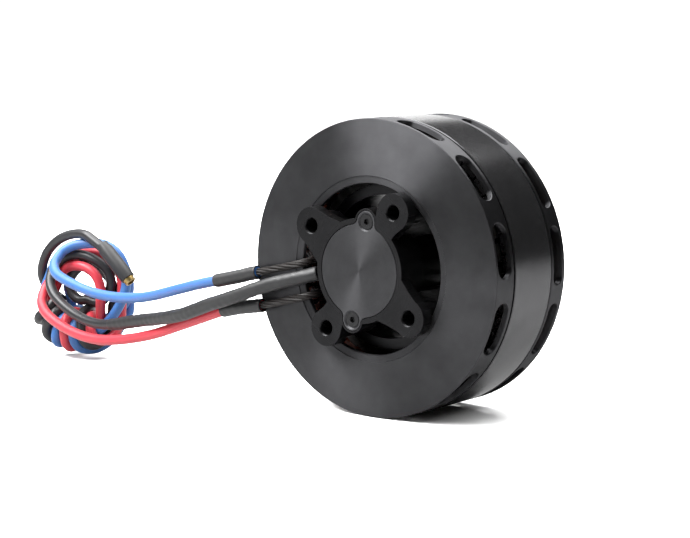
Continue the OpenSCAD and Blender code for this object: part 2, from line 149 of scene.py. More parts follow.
BLUE_COIL = [
    (92, 19.0, 4.4), (68, 21.6, 3.6), (47, 23.4, 2.4), (26, 22.4, 1.0), (5, 20.4, 0.5),
    (-20, 19.2, 1.6), (-50, 19.0, 2.6), (-80, 19.2, 2.6), (-110, 19.4, 1.2), (-140, 20, -1.0),
    (-170, 20.2, -3.2), (-200, 19.6, -4.6), (-230, 18.8, -5), (-260, 18.2, -5),
    (-290, 18.6, -5), (-320, 19.2, -5), (-350, 19.2, -4.6), (-380, 18.6, -4.6),
    (-410, 15.5, -5), (-440, 12.2, -5), (-470, 11.4, -4.8), (-500, 11.6, -4.8),
    (-530, 12.2, -5), (-560, 12.8, -5.2), (-590, 13.4, -5.4), (-620, 14, -5.6),
    (-650, 15, -5.6), (-680, 16.2, -5.4), (-710, 17.4, -5.2), (-740, 18.4, -5)]
BLUE_WRAPS = [
    (320, -70, 6.4), (300, -50, 7.6), (284, -20, 8.4), (274, 10, 8.4), (269, 45, 8.2),
    (267, 90, 8.2), (266, 135, 8.2), (265, 180, 8.2), (262, 225, 8.4), (257, 270, 8.8),
    (251, 315, 8.6), (247, 360, 8.2), (244.5, 405, 8.2), (243, 450, 8.2), (242, 495, 8.2),
    (241, 540, 8.2), (242, 580, 8.8), (245, 612, 10.0)]
RED_COIL = [
    (98, 10.2, 3.8), (72, 10.4, 5.0), (46, 11.6, 5.0), (20, 11.6, 4.4), (-8, 11.4, 3.6),
    (-40, 12.6, 3.2), (-70, 14.2, 2.6), (-100, 15.4, 1.8), (-130, 15.8, 0.6), (-160, 15.8, -0.6),
    (-190, 15.6, -1.8), (-220, 15.0, -3.0), (-250, 14.6, -3.0), (-275, 15.0, -1.6),
    (-300, 16.8, -0.6), (-322, 18.8, -0.6), (-345, 18.8, -1.2), (-370, 18.0, -2.2),
    (-395, 18.6, -3.6)]
RED_WRAPS = [
    (318, -40, 5.0), (304, -10, 7.8), (294, 20, 8.4), (288, 45, 8.2), (285, 90, 8.2),
    (283, 135, 8.2), (281, 180, 8.4), (277, 225, 8.8), (271, 270, 8.8), (264, 315, 8.4),
    (259, 360, 8.2), (255.7, 405, 8.2), (254, 450, 8.2), (253, 495, 8.2), (253, 540, 8.2),
    (254, 580, 8.8), (257, 612, 10.4)]
BLACK_COIL = [
    (100, 15.4, 0.2), (78, 14.4, 1.2), (58, 14.8, 1.2), (36, 15.4, 0.2), (12, 15.2, -0.4),
    (-14, 14.4, -1.4), (-40, 12.6, -2), (-70, 10.5, -2.4), (-100, 9.6, -2.6),
    (-130, 9.4, -2.6), (-160, 9.8, -2.8), (-190, 10.6, -2.8), (-220, 11.5, -3),
    (-250, 11.5, -3), (-280, 11.2, -3), (-310, 11.6, -3), (-340, 12.6, -3),
    (-370, 14.2, -3.4), (-395, 15.6, -3.6)]
BLACK_WRAPS = [
    (310, -60, 6.0), (294, -40, 8.4), (286, -5, 8.6), (282, 20, 8.2), (279, 45, 8.2),
    (276, 90, 8.2), (274, 135, 8.2), (273, 180, 8.2), (268, 225, 10.0), (258, 270, 12.6),
    (244, 315, 12.0), (233, 360, 8.8), (229, 405, 8.2), (228, 450, 8.2), (228, 495, 8.2),
    (228, 540, 8.2), (226, 585, 8.2), (221, 630, 8.2), (217, 675, 8.2), (215, 720, 8.2),
    (214, 765, 8.2), (213, 810, 8.2), (212, 855, 8.2), (210, 900, 8.0), (205, 935, 7.8),
    (198, 970, 7.2), (189, 1010, 6.4)]
BLACK_LOOP = [
    (176, 21.6, -4.6), (160, 22.8, -2.8), (140, 23.4, -1.0), (118, 23.4, 0.4), (98, 22.8, 2.2),
    (80, 22.0, 5.0), (66, 20.4, 7.6)]


def respaced(line, step):
    """The line again, with its points a step apart."""
    along = np.concatenate([[0], np.cumsum(np.linalg.norm(np.diff(line, axis=0), axis=1))])
    at = np.linspace(0, along[-1], max(2, round(along[-1] / step) + 1))
    return np.stack([np.interp(at, along, line[:, k]) for k in range(3)], axis=1)


def smooth(points, step):
    """A Catmull-Rom curve through the points, with its own points a step apart."""
    p = np.array(points, float)
    p = np.vstack([2 * p[0] - p[1], p, 2 * p[-1] - p[-2]])
    t = np.linspace(0, 1, 16, endpoint=False)[:, None]
    parts = [
        0.5 * (2 * b + (c - a) * t + (2 * a - 5 * b + 4 * c - d) * t**2
               + (3 * b - a - 3 * c + d) * t**3)
        for a, b, c, d in zip(p, p[1:], p[2:], p[3:])]
    return respaced(np.vstack([*parts, p[-2:-1]]), step)


def length_of(points):
    return float(np.linalg.norm(np.diff(np.array(points, float), axis=0), axis=1).sum())


COIL_STEP = 2.2                 # between the points of a lead that is being settled
EASING_ROUNDS = 14


def eased(line, stretch):
    """The line with the wobble taken out of its first stretch."""
    line = line.copy()
    count = round(stretch / COIL_STEP)
    for _ in range(EASING_ROUNDS):
        line[1:count] += 0.5 * ((line[:count - 1] + line[2:count + 1]) / 2 - line[1:count])
    return line


LINE_STEP = 1.2                 # between the points of a finished lead
LEAD_GAP = 0.06                 # kept between two leads
SAME_STRETCH = 9                # along one lead, points nearer than this don't push each other
ROUNDS = 120
LATE_ROUND = 0.65 * ROUNDS      # from here on the leads are moved less
SMOOTHING, LATE_SMOOTHING = 0.5, 0.3
RETURN, LATE_RETURN = 0.06, 0.02                # towards the planned route
PUSH_ROUNDS = 3
PUSH_BOOST = 1.25
SOFTEST_BEND = 9.0              # the radius below which a bend is eased


def settle(plans):
    """Lets the planned leads push each other apart and ease into bends that silicone cable takes.

    plans: for each lead (its points, how much of its start and of its end stays put)."""
    lines = [eased(smooth(points, COIL_STEP), start) for points, start, _ in plans]
    x = np.concatenate(lines)
    aim = x.copy()
    who = np.concatenate([np.full(len(line), i) for i, line in enumerate(lines)])
    index = np.concatenate([np.arange(len(line)) for line in lines])
    free = np.concatenate([
        (np.arange(len(line)) * COIL_STEP > start) & (np.arange(len(line)) < len(line) - end / COIL_STEP)
        for line, (_, start, end) in zip(lines, plans)])
    apart = (who[:, None] != who[None]) | (np.abs(index[:, None] - index[None]) * COIL_STEP > SAME_STRETCH)
    pairs = np.triu(apart, 1) & (free[:, None] | free[None])
    inner = free.copy()
    inner[[0, -1]] = False
    from_end = np.concatenate([np.minimum(np.arange(len(line)), len(line) - 1 - np.arange(len(line)))
                               for line in lines])
    loose = from_end > 2
    for turn in range(ROUNDS):
        late = turn > LATE_ROUND
        middle = x.copy()
        middle[1:-1] = (x[:-2] + x[2:]) / 2
        x[inner] += (LATE_SMOOTHING if late else SMOOTHING) * (middle - x)[inner]
        x[inner] += (LATE_RETURN if late else RETURN) * (aim - x)[inner]
        sharp = np.zeros(len(x), bool)
        sharp[1:-1] = np.linalg.norm((middle - x)[1:-1], axis=1) > COIL_STEP**2 / 2 / SOFTEST_BEND
        for shift in (-2, -1, 1, 2):
            sharp |= np.roll(sharp, shift)
        sharp &= loose
        x[sharp] += 0.5 * (middle - x)[sharp]
        for _ in range(PUSH_ROUNDS):
            gap = x[:, None] - x[None]
            far = np.sqrt((gap**2).sum(2))
            i, j = np.where(pairs & (far < LEAD_D + LEAD_GAP))
            if len(i):
                push = gap[i, j] * ((LEAD_D + LEAD_GAP) / (far[i, j] + 1e-9) - 1)[:, None]
                share = np.maximum(free[i] * 1.0 + free[j], 1)[:, None]
                move, hits = np.zeros_like(x), np.zeros(len(x))
                np.add.at(move, i, push * free[i][:, None] / share)
                np.add.at(move, j, -push * free[j][:, None] / share)
                np.add.at(hits, i, 1)
                np.add.at(hits, j, 1)
                x += PUSH_BOOST * move / np.maximum(hits, 1)[:, None]
            x[free, 2] = np.maximum(x[free, 2], FLOOR_Z + LEAD_D / 2)
    cuts = np.cumsum([len(line) for line in lines])[:-1]
    return [smooth(line, LINE_STEP) for line in np.split(x, cuts)]


blue_start = [*BLUE_SLEEVE[:-1], *BLUE_RUN]
red_start = [*RED_SLEEVE[:-1], *RED_RUN]
black_start = [*BLACK_SLEEVE[:-1], *BLACK_RUN]
blue_line, red_line, black_line = settle([
    ([*blue_start, *[on_ring(*p) for p in BLUE_COIL], *[on_wrap(*p) for p in BLUE_WRAPS],
      *BLUE_END], length_of(blue_start) - 6, 4),
    ([*red_start, *[on_ring(*p) for p in RED_COIL], *[on_wrap(*p) for p in RED_WRAPS],
      *RED_END], length_of(red_start) - 6, 4),
    ([*black_start, *[on_ring(*p) for p in BLACK_COIL], *[on_wrap(*p) for p in BLACK_WRAPS],
      *[on_ring(*p) for p in BLACK_LOOP], *BLACK_END], length_of(black_start) - 6, 16)])


# ---- Materials -------------------------------------------------------------------

def new_material(name, color, rough, metal=0.0, **sockets):
    """A Principled material and its shader node; sockets are set by name."""
    material = bpy.data.materials.new(name)
    material.use_nodes = True
    shader = material.node_tree.nodes["Principled BSDF"]
    shader.inputs["Base Color"].default_value = (*color, 1)
    shader.inputs["Roughness"].default_value = rough
    shader.inputs["Metallic"].default_value = metal
    for socket, value in sockets.items():
        shader.inputs[socket.replace("_", " ")].default_value = value
    material.diffuse_color = (*color, 1)
    return material, shader


def add_node(material, kind, **values):
    made = material.node_tree.nodes.new(kind)
    for name, value in values.items():
        if name in made.inputs:
            made.inputs[name].default_value = value
        else:
            setattr(made, name, value)
    return made


def wire(material, source, target):
    material.node_tree.links.new(source, target)


def noise(material, scale, detail=4.0, stretch=(1, 1, 1), rough=0.55):
    """Noise in object space, in metres, stretched by axis."""
    place = add_node(material, "ShaderNodeTexCoord")
    fit = add_node(material, "ShaderNodeMapping")
    fit.inputs["Scale"].default_value = stretch
    made = add_node(material, "ShaderNodeTexNoise", Scale=scale, Detail=detail, Roughness=rough)
    wire(material, place.outputs["Object"], fit.inputs["Vector"])
    wire(material, fit.outputs["Vector"], made.inputs["Vector"])
    return made.outputs["Fac"]


def spread(material, source, low, high, target):
    """Sends a 0 to 1 value to a socket as low to high."""
    fit = add_node(material, "ShaderNodeMapRange")
    fit.inputs["From Min"].default_value = 0.3
    fit.inputs["From Max"].default_value = 0.7
    fit.inputs["To Min"].default_value = low
    fit.inputs["To Max"].default_value = high
    wire(material, source, fit.inputs["Value"])
    wire(material, fit.outputs["Result"], target)


def tint(material, source, dark, light, target):
    ramp = add_node(material, "ShaderNodeValToRGB")
    ramp.color_ramp.elements[0].position, ramp.color_ramp.elements[1].position = 0.3, 0.7
    ramp.color_ramp.elements[0].color = (*dark, 1)
    ramp.color_ramp.elements[1].color = (*light, 1)
    wire(material, source, ramp.inputs["Fac"])
    wire(material, ramp.outputs["Color"], target)


def bump(material, shader, source, strength, distance):
    made = add_node(material, "ShaderNodeBump", Strength=strength, Distance=distance)
    wire(material, source, made.inputs["Height"])
    wire(material, made.outputs["Normal"], shader.inputs["Normal"])
    return made


def axis_distance(material):
    """Distance from the motor's axis, in metres."""
    place = add_node(material, "ShaderNodeTexCoord")
    flat = add_node(material, "ShaderNodeVectorMath", operation="MULTIPLY")
    flat.inputs[1].default_value = (1, 0, 1)
    size = add_node(material, "ShaderNodeVectorMath", operation="LENGTH")
    wire(material, place.outputs["Object"], flat.inputs[0])
    wire(material, flat.outputs["Vector"], size.inputs[0])
    return size.outputs["Value"]


def rings_noise(material, scale):
    """Noise that changes only with the distance from the axis, as turning marks do."""
    made = add_node(material, "ShaderNodeTexNoise", noise_dimensions="1D", Scale=1.0, Detail=3.0)
    times = add_node(material, "ShaderNodeMath", operation="MULTIPLY")
    times.inputs[1].default_value = scale
    wire(material, axis_distance(material), times.inputs[0])
    wire(material, times.outputs["Value"], made.inputs["W"])
    return made.outputs["Fac"]


def turned_aluminium(name, color, rough, anisotropy):
    """Black anodised aluminium with the fine rings that a lathe leaves."""
    material, shader = new_material(name, color, rough, 0.85, Anisotropic=anisotropy,
                                    Anisotropic_Rotation=0.25)
    tangent = add_node(material, "ShaderNodeTangent", direction_type="RADIAL", axis="Y")
    wire(material, tangent.outputs["Tangent"], shader.inputs["Tangent"])
    marks = rings_noise(material, 3200)
    spread(material, marks, rough - 0.05, rough + 0.06, shader.inputs["Roughness"])
    tint(material, noise(material, 90, 3), tuple(c * 0.85 for c in color),
         tuple(c * 1.15 for c in color), shader.inputs["Base Color"])
    bump(material, shader, marks, 0.25, 0.00002)
    return material


def grained(name, color, rough, metal=0.0, scale=900, strength=0.15, vary=0.12, **sockets):
    """A plain surface with a fine grain and a little variation in colour and gloss."""
    material, shader = new_material(name, color, rough, metal, **sockets)
    grain = noise(material, scale, 5)
    spread(material, grain, rough - 0.05, rough + 0.05, shader.inputs["Roughness"])
    tint(material, noise(material, scale / 12, 3), tuple(c * (1 - vary) for c in color),
         tuple(min(1, c * (1 + vary)) for c in color), shader.inputs["Base Color"])
    bump(material, shader, grain, strength, 0.00003)
    return material


MATERIALS = {
    "anodised_base": turned_aluminium("anodised_base", (0.016, 0.016, 0.017), 0.32, 0.4),
    "anodised_cover": turned_aluminium("anodised_cover", (0.054, 0.054, 0.057), 0.48, 0.7),
    "anodised_rotor": turned_aluminium("anodised_rotor", (0.052, 0.052, 0.055), 0.40, 0.95),
    "black_can": grained("black_can", (0.085, 0.085, 0.088), 0.20, 0.85, 1500, 0.02),
    "black_screw": grained("black_screw", (0.02, 0.02, 0.021), 0.38, 0.6),
    "lamination_steel": grained("lamination_steel", (0.07, 0.07, 0.075), 0.45, 0.9),
    "slot_insulation": grained("slot_insulation", (0.015, 0.015, 0.014), 0.6),
    "enamelled_copper": grained("enamelled_copper", (0.11, 0.026, 0.013), 0.3, 0.5, 300,
                                Coat_Weight=0.6, Coat_Roughness=0.15),
    "bearing_steel": grained("bearing_steel", (0.55, 0.55, 0.57), 0.2, 1.0),
    "cage_brass": grained("cage_brass", (0.6, 0.42, 0.16), 0.35, 1.0),
    "spring_steel": grained("spring_steel", (0.25, 0.25, 0.26), 0.35, 0.9),
    "magnet_plating": grained("magnet_plating", (0.12, 0.12, 0.125), 0.3, 0.9),
    "shaft_steel": grained("shaft_steel", (0.5, 0.5, 0.52), 0.25, 1.0),
    "varnished_tail": grained("varnished_tail", (0.010, 0.007, 0.006), 0.5, 0.1, 400),
    "shrink_sleeve": grained("shrink_sleeve", (0.019, 0.019, 0.020), 0.46, 0.0, 500, 0.3,
                             Sheen_Weight=0.10, Sheen_Roughness=0.3),
    "blue_silicone": grained("blue_silicone", (0.042, 0.15, 0.41), 0.42, 0.0, 700, 0.1, 0.05,
                             Subsurface_Weight=0.05, Sheen_Weight=0.15, Sheen_Roughness=0.4),
    "black_silicone": grained("black_silicone", (0.020, 0.020, 0.022), 0.38, 0.0, 700, 0.1, 0.1,
                              Sheen_Weight=0.12, Sheen_Roughness=0.3),
    "red_silicone": grained("red_silicone", (0.58, 0.038, 0.058), 0.42, 0.0, 700, 0.1, 0.05,
                            Subsurface_Weight=0.05, Sheen_Weight=0.15, Sheen_Roughness=0.4),
}


# ---- Making pieces ---------------------------------------------------------------

def add_object(name, data, slot, body, *nodes):
    """An object from a mesh or curve, in its material, riding on its body and standing for CAD nodes."""
    made = bpy.data.objects.new(name, data)
    bpy.context.scene.collection.objects.link(made)
    data.materials.append(MATERIALS[slot])
    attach(made, body)
    if nodes:
        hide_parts(*nodes)
    return made


def add_mesh(name, points, faces, slot, body, *nodes, sharp=30):
    """A mesh piece from points in millimetres, shaded smooth but for its sharp edges."""
    data = bpy.data.meshes.new(name)
    data.from_pydata([tuple(MM * c for c in p) for p in points], [], faces)
    work = bmesh.new()
    work.from_mesh(data)
    bmesh.ops.remove_doubles(work, verts=work.verts, dist=0.001 * MM)
    bmesh.ops.recalc_face_normals(work, faces=work.faces)
    work.to_mesh(data)
    work.free()
    data.shade_smooth()
    data.set_sharp_from_angle(angle=math.radians(sharp))
    return add_object(name, data, slot, body, *nodes)


class Solid:
    """Points and faces gathered for one mesh."""

    def __init__(self):
        self.points, self.faces = [], []

    def add(self, points):
        first = len(self.points)
        self.points.extend(tuple(float(c) for c in p) for p in points)
        return list(range(first, len(self.points)))

    def band(self, a, b):
        """Quads between two closed rings of the same number of points."""
        n = len(a)
        self.faces.extend((a[k], a[(k + 1) % n], b[(k + 1) % n], b[k]) for k in range(n))

    def skin(self, rings, cap_ends=True):
        for a, b in zip(rings, rings[1:]):
            self.band(a, b)
        if cap_ends:
            self.faces.extend([tuple(rings[0]), tuple(rings[-1][::-1])])


def polar(radius, angle, y):
    return radius * math.cos(angle), y, radius * math.sin(angle)


# ---- Turned rings with cooling slots -----------------------------------------------

RIM_R = 51.2                    # outside of the rotor
BAND_R = 49.3                   # inside of the slotted bands
SPIGOT_R = 48.55                # the steps that centre the can
SPIGOT_IN_R = 48.2
OPENING_R = 29.3                # the front opening
CAN_Y0, CAN_Y1 = 18.4, 40.1
REAR_Y = 49.3
SLOT_COUNT = 12
SLOT_EDGE = 0.2                 # chamfer round a slot
CAP_STEPS = 9                   # along a quarter of a slot's round end
FLAT_STEPS = 6                  # along a slot's straight side, and between two slots


def stadium(width, long, grow):
    """Half outlines of a slot, left to right: for each column its place along and its half height."""
    middle = (long - width) / 2
    r = width / 2 + grow
    caps = [math.pi / 2 * k / CAP_STEPS for k in range(CAP_STEPS + 1)]
    left = [(-middle - r * math.cos(a), r * math.sin(a)) for a in caps]
    flat = [(-middle + 2 * middle * k / FLAT_STEPS, r) for k in range(1, FLAT_STEPS)]
    return left + flat + [(-u, v) for u, v in left[::-1]]


def slotted_ring(profile, outer, inner, slot_y, width, long, first_angle):
    """A turned ring whose section is the closed profile, with slots through its band.

    outer and inner are where the profile's segments begin that the slots pass through."""
    made = Solid()
    outer, inner = profile.index(outer), profile.index(inner)
    pitch = 2 * math.pi / SLOT_COUNT
    edge, hole = stadium(width, long, SLOT_EDGE), stadium(width, long, 0)
    columns = []
    for i in range(SLOT_COUNT):
        centre = math.radians(first_angle) + pitch * i
        for k, (u, _) in enumerate(edge):
            columns.append((centre + math.asin(u / RIM_R), i, k))
        end = math.asin(edge[-1][0] / RIM_R)
        gap = pitch - 2 * end
        columns.extend((centre + end + gap * k / FLAT_STEPS, i, None) for k in range(1, FLAT_STEPS))
    rings = [made.add([polar(r, a, y) for a, _, _ in columns]) for r, y in profile]
    count = len(profile)
    for j in range(count):
        if j not in (outer, inner):
            made.band(rings[j], rings[(j + 1) % count])
    last = len(edge) - 1

    def outline(shape, radius):
        """For each slot, its lower and its upper row of points at a radius."""
        rows = []
        for i in range(SLOT_COUNT):
            centre = math.radians(first_angle) + pitch * i
            low = made.add([polar(radius, centre + math.asin(u / RIM_R), slot_y - v)
                            for u, v in shape])
            high = made.add([polar(radius, centre + math.asin(u / RIM_R), slot_y + v)
                             for u, v in shape[1:-1]])
            rows.append((low, [low[0], *high, low[-1]]))
        return rows

    outside = outline(edge, profile[outer][0])
    step = outline(hole, profile[outer][0] - SLOT_EDGE)
    inside = outline(hole, profile[inner][0])
    for j, rows in ((outer, outside), (inner, inside)):
        a, b = rings[j], rings[(j + 1) % count]
        if profile[j][1] > profile[(j + 1) % count][1]:
            a, b = b, a
        for c in range(len(columns)):
            d = (c + 1) % len(columns)
            (_, i, k), (_, i2, k2) = columns[c], columns[d]
            if k is None and k2 is None:
                made.faces.append((a[c], a[d], b[d], b[c]))
            elif k is None:
                made.faces.append((a[c], a[d], rows[i2][0][0], b[d], b[c]))
            elif k == last:
                made.faces.append((a[c], a[d], b[d], b[c], rows[i][0][last]))
            else:
                low, high = rows[i]
                made.faces.append((a[c], a[d], low[k + 1], low[k]))
                made.faces.append((high[k], high[k + 1], b[d], b[c]))
    for rows, deeper in ((outside, step), (step, inside)):
        for (low, high), (low2, high2) in zip(rows, deeper):
            made.band(low + high[-2:0:-1], low2 + high2[-2:0:-1])
    return made


def turned(profile, count=240):
    """A closed section turned about the axis."""
    made = Solid()
    rings = [made.add([polar(r, 2 * math.pi * k / count, y) for k in range(count)])
             for r, y in profile]
    made.skin([*rings, rings[0]], cap_ends=False)
    return made


front = slotted_ring(
    [(OPENING_R, 6.55), (OPENING_R + 0.2, 6.3), (OPENING_R + 2.45, 5.95), (OPENING_R + 2.65, 5.68),
     (OPENING_R + 3, 5.7), (RIM_R - 0.45, 7.16), (RIM_R - 0.2, 7.22), (RIM_R, 7.45),
     (RIM_R, 16.85), (RIM_R - 0.1, 17.15), (RIM_R - 0.3, 17.3), (RIM_R - 1, 17.3),
     (RIM_R - 1, CAN_Y0), (SPIGOT_R, CAN_Y0), (SPIGOT_R, 19.1), (SPIGOT_IN_R, 19.1),
     (SPIGOT_IN_R, 17.4), (BAND_R, 16.3), (BAND_R, 8.0), (46.4, 8.0), (45.4, 9.2),
     (OPENING_R + 1, 8.3), (OPENING_R, 7.8)],
    outer=(RIM_R, 7.45), inner=(BAND_R, 16.3), slot_y=11.95, width=7.7, long=18.6, first_angle=10.6)
add_mesh("front_ring_turned", front.points, front.faces, "anodised_rotor", "rotor", "front_ring",
         sharp=14)
can = turned([
    (RIM_R - 2.6, CAN_Y0), (RIM_R - 0.25, CAN_Y0), (RIM_R, CAN_Y0 + 0.25), (RIM_R, CAN_Y1 - 0.45),
    (RIM_R - 0.4, CAN_Y1), (RIM_R - 2.6, CAN_Y1)])
add_mesh("flux_ring_turned", can.points, can.faces, "black_can", "rotor", "flux_ring", sharp=20)
rear = slotted_ring(
    [(SPIGOT_IN_R, 40.8), (SPIGOT_IN_R, 39.4), (SPIGOT_R, 39.4), (SPIGOT_R, CAN_Y1),
     (RIM_R - 0.8, CAN_Y1), (RIM_R - 0.8, 40.4), (RIM_R - 0.25, 40.42), (RIM_R, 40.7),
     (RIM_R, 48.2), (RIM_R - 0.3, 48.75), (RIM_R - 0.8, 49.2), (RIM_R - 1.2, REAR_Y),
     (44.0, REAR_Y), (43.5, 48.9), (43.5, 47.3), (BAND_R, 46.95), (BAND_R, 41.4)],
    outer=(RIM_R, 40.7), inner=(BAND_R, 46.95), slot_y=44.2, width=5.2, long=20, first_angle=5.6)
add_mesh("rear_band_turned", rear.points, rear.faces, "anodised_rotor", "rotor", "rear_bell",
         sharp=14)


# ---- Rear spider: hub and spokes ----------------------------------------------------

QUARTER_TURN = np.array([[0, 1], [-1, 0]])


def circle(x, z, r, count):
    return [(x + r * math.cos(2 * math.pi * k / count), z + r * math.sin(2 * math.pi * k / count))
            for k in range(count)]


def moved_in(loop, depth):
    """A closed outline moved to the left of its own direction."""
    p = np.array(loop, float)
    ahead, back = np.roll(p, -1, axis=0) - p, p - np.roll(p, 1, axis=0)
    ahead /= np.linalg.norm(ahead, axis=1)[:, None]
    back /= np.linalg.norm(back, axis=1)[:, None]
    side = (ahead + back) @ QUARTER_TURN
    side /= np.linalg.norm(side, axis=1)[:, None]
    wide = np.maximum(0.5, (side * (ahead @ QUARTER_TURN)).sum(1))
    return (p + depth * side / wide[:, None]).tolist()


def plate(made, loops, y0, y1, edges):
    """A flat plate across the axis: an outline and the holes in it, each edge chamfered."""
    faces = {y0: [], y1: []}
    for number, (loop, edge) in enumerate(zip(loops, edges)):
        narrow = moved_in(loop, edge if number == 0 else -edge)
        rings = [made.add([(x, y, z) for x, z in shape])
                 for shape, y in ((narrow, y0), (loop, y0 + edge), (loop, y1 - edge), (narrow, y1))]
        made.skin(rings, cap_ends=False)
        faces[y0].append(rings[0])
        faces[y1].append(rings[-1])
    for rows in faces.values():
        flat = [k for row in rows for k in row]
        for triangle in tessellate_polygon([[Vector(made.points[k]) for k in row] for row in rows]):
            made.faces.append(tuple(flat[k] for k in triangle))


def turned_about(points, degrees):
    c, s = math.cos(math.radians(degrees)), math.sin(math.radians(degrees))
    return [(x * c - z * s, x * s + z * c) for x, z in points]


HUB_R = 21
PROP_PCD = 30
BELL_SCREW_PCD = 17
SPOKE_COUNT = 12

spider = Solid()
hub = circle(0, 0, HUB_R, 144)
shaft_hole = circle(0, 0, 5.05, 64)
prop_holes = [turned_about(circle(PROP_PCD / 2, 0, 2, 40), 45 + 90 * i) for i in range(4)]
bell_screw_holes = [turned_about(circle(BELL_SCREW_PCD / 2, 0, 1.6, 40), 90 * i) for i in range(4)]
plate(spider, [hub, shaft_hole, *prop_holes, *bell_screw_holes], 44.2, 50.3,
      [0.4, 0.2, *[0.35] * 4, *[1.35] * 4])
SPOKE = [(20.2, -3.0), (21.6, -2.6), (24, -2.2), (40, -2.2), (42.6, -2.9), (44.4, -4.2),
         (44.4, 4.2), (42.6, 2.9), (40, 2.2), (24, 2.2), (21.6, 2.6), (20.2, 3.0)]
for i in range(SPOKE_COUNT):
    plate(spider, [turned_about(SPOKE, (i + 0.5) * 360 / SPOKE_COUNT)], 45.1, 49.2, [0.35])
add_mesh("rear_spider", spider.points, spider.faces, "anodised_rotor", "rotor", "rear_bell", sharp=20)


# ---- Leads, sleeves, tails and connectors --------------------------------------------

def tube(made, line, rings, sides=20, ripple=None):
    """A round skin along a line: rings are (place along in mm, radius); ripple adds to a radius."""
    line = np.array(line, float)
    along = np.concatenate([[0], np.cumsum(np.linalg.norm(np.diff(line, axis=0), axis=1))])
    heads = np.gradient(line, axis=0)
    side = np.cross(heads[0], (0.1, 0.2, 1.0))
    sides_at = []
    for head in heads:
        head = head / np.linalg.norm(head)
        side = side - head * (side @ head)
        side /= np.linalg.norm(side)
        sides_at.append(side)
    sides_at = np.array(sides_at)
    skins = []
    for at, radius in rings:
        centre, head, out = (np.array([np.interp(at, along, rows[:, k]) for k in range(3)])
                             for rows in (line, heads, sides_at))
        head = head / np.linalg.norm(head)
        out -= head * (out @ head)
        out /= np.linalg.norm(out)
        up = np.cross(head, out)
        angles = [2 * math.pi * k / sides for k in range(sides)]
        skins.append(made.add([
            centre + (radius + (ripple(at, a) if ripple else 0)) * (math.cos(a) * out + math.sin(a) * up)
            for a in angles]))
    made.skin(skins)


def evenly(start, end, step):
    count = max(2, round((end - start) / step))
    return [start + (end - start) * k / count for k in range(count + 1)]


def sleeve_mesh(name, line, slot, seed, *nodes, thin_end=0.0):
    """A shrink sleeve: wrinkled, with cut ends whose wall shows, and a lead through it."""
    long = length_of(line)
    lead_r, wall_r = LEAD_D / 2 + 0.02, SLEEVE_D / 2

    def ripple(at, angle):
        folds = 0.07 * math.sin(3 * angle + 0.35 * at + seed) * math.sin(0.21 * at + 2 * seed)
        creases = 0.05 * math.sin(1.9 * at + seed + 1.2 * math.sin(angle)) * math.sin(0.13 * at + angle)
        return (folds + creases) * min(1, at / 2, (long - at) / 2)

    def radius(at):
        shrunk = max(0.0, 1 - (long - at) / 9) * thin_end
        return wall_r - shrunk

    rings = [(0, lead_r), (0, wall_r - 0.12), (0.15, wall_r)]
    rings += [(at, radius(at)) for at in evenly(0.6, long - 0.6, 0.8)]
    rings += [(long - 0.15, radius(long)), (long, radius(long) - 0.12), (long, lead_r)]
    made = Solid()
    tube(made, line, rings, 24, ripple)
    return add_mesh(name, made.points, made.faces, slot, "stator", *nodes, sharp=50)


def tail_mesh(name, line, seed, *nodes):
    """A twisted bunch of enamelled wires."""
    line = smooth(line, 0.8)
    made = Solid()
    long = length_of(line)
    wire_r, lay_r, pitch = 0.45, 0.92, 26.0
    heads = np.gradient(line, axis=0)
    heads /= np.linalg.norm(heads, axis=1)[:, None]
    side = np.cross(heads, (0.15, 0.3, 1.0))
    side /= np.linalg.norm(side, axis=1)[:, None]
    up = np.cross(heads, side)
    along = np.linspace(0, long, len(line))
    tube(made, line, [(at, wire_r) for at in evenly(0, long, 1.2)], 8)
    for k in range(6):
        angle = 2 * math.pi * (k / 6 + along / pitch) + seed
        reach = lay_r + 0.06 * np.sin(along * 0.8 + 2 * k + seed)
        strand = line + reach[:, None] * (np.cos(angle)[:, None] * side + np.sin(angle)[:, None] * up)
        tube(made, strand, [(at, wire_r) for at in evenly(0, length_of(strand), 1.2)], 8)
    return add_mesh(name, made.points, made.faces, "varnished_tail", "stator", *nodes)


def connector_meshes(name, ends, node):
    """A bullet connector: its sleeve, shrunk onto the lead, and the gold contact in its mouth."""
    start, end = (np.array(p, float) for p in ends)
    head = (end - start) / np.linalg.norm(end - start)
    line = [start - 1.5 * head, start, (start + end) / 2, end, end + 1.6 * head]
    long = length_of(line)
    sleeve, contact = Solid(), Solid()
    tube(sleeve, line, [
        (0, 2.02), (0, 2.35), (0.3, 2.45), (1.6, 2.55), (3.0, 2.95), (long * 0.6, 3.0),
        (long - 2.4, 2.9), (long - 2.0, 2.8), (long - 2.0, 2.3)], 28,
        lambda at, angle: 0.05 * math.sin(2.2 * at + 3 * angle) * min(1, at))
    tube(contact, line, [
        (long - 5, 2.25), (long - 0.4, 2.25), (long - 0.1, 2.1), (long - 0.1, 1.75), (long - 3, 1.7)],
        28)
    return [
        add_mesh(f"{name}_sleeve", sleeve.points, sleeve.faces, "shrink_sleeve", "stator", node,
                 sharp=40),
        add_mesh(f"{name}_contact", contact.points, contact.faces, "cage_brass", "stator", node)]


def lead_curve(name, line, slot, *nodes):
    """A lead as one open curve along a line in millimetres."""
    data = bpy.data.curves.new(name, "CURVE")
    data.dimensions, data.bevel_depth, data.bevel_resolution = "3D", LEAD_D / 2 * MM, 5
    data.use_fill_caps = True
    spline = data.splines.new("POLY")
    spline.points.add(len(line) - 1)
    spline.points.foreach_set("co", np.hstack([line * MM, np.ones((len(line), 1))]).ravel())
    spline.use_smooth = True
    return add_object(name, data, slot, "stator", *nodes)


